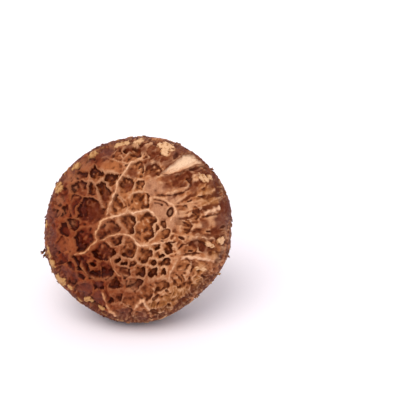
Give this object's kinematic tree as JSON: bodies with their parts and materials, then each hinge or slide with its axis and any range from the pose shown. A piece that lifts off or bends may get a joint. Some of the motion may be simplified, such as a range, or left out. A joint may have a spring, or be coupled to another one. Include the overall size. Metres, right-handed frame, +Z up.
{
  "type": "shiitake mushroom",
  "caption": "Thick-capped shiitake mushroom lying on its side: a brown wrinkled cap on its rim and a short pale stem behind it, with the gills under the cap.",
  "frame": {"origin": "middle of the bounding box on the surface that the mushroom lies on", "axes": "+Z up from that surface; the crown of the cap faces -Y and up, the stem runs back and down towards +Y; +X to the right, seen from the crown"},
  "size_m": [0.0592, 0.0582, 0.0539],
  "materials": {
    "cap_skin": "dry, slightly waxy brown skin with a raised net of paler wrinkles and cream flecks of veil at the rim",
    "gill_flesh": "soft, matt cream blades",
    "stem_flesh": "fibrous, matt pale tan with a cream cut end"
  },
  "bodies": {
    "root": {"cap": "cap_skin", "gills": "gill_flesh", "stem": "stem_flesh"}
  },
  "joints": []
}
